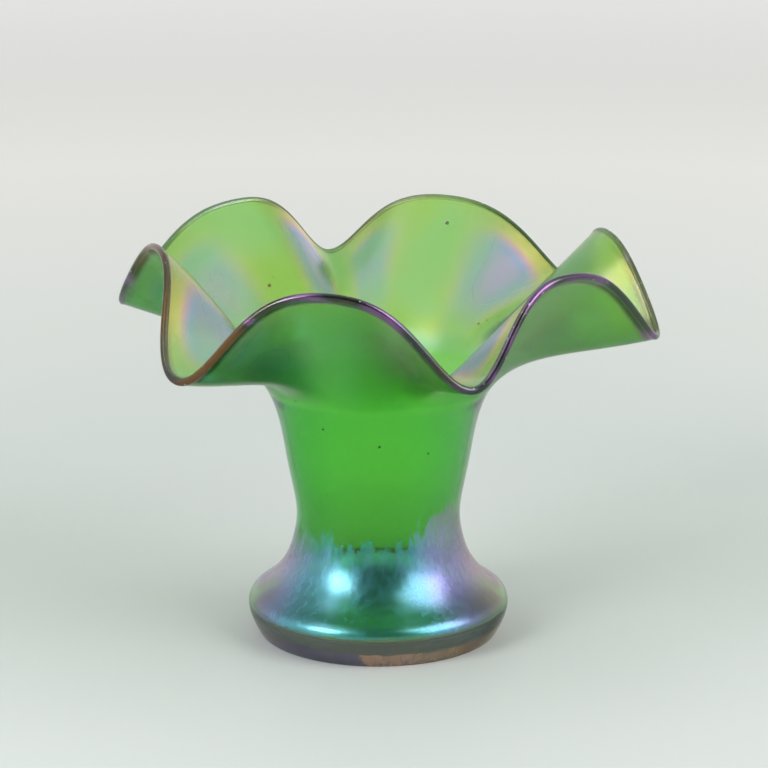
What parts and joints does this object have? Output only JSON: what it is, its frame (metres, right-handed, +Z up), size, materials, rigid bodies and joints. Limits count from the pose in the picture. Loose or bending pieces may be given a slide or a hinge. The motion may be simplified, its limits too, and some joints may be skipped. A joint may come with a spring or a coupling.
{
  "type": "glass vase",
  "caption": "Hand-blown green glass vase with a cushion foot, waisted neck and wide crimped rim of upstanding lobes, with an iridescent film.",
  "frame": {"origin": "centre of the flat resting ring under the foot, on the axis of the neck", "axes": "+Z up along the axis of the neck, -Y towards the side with the broad front lobe, +X to that side's right"},
  "size_m": [0.2145, 0.2133, 0.164],
  "materials": {
    "body_glass": "clear saturated green glass, polished by fire, with a ragged teal, blue and violet metallic film over the foot",
    "collar_glass": "clear green glass with a thin pearly pink, lilac and yellow film",
    "lip_glass": "fire-polished rounded edge, dark green with a violet sheen"
  },
  "bodies": {
    "root": {"base_disc": "body_glass", "cushion_foot": "body_glass", "neck": "body_glass", "ruffled_collar": "collar_glass", "lip_bead": "lip_glass"}
  },
  "joints": []
}
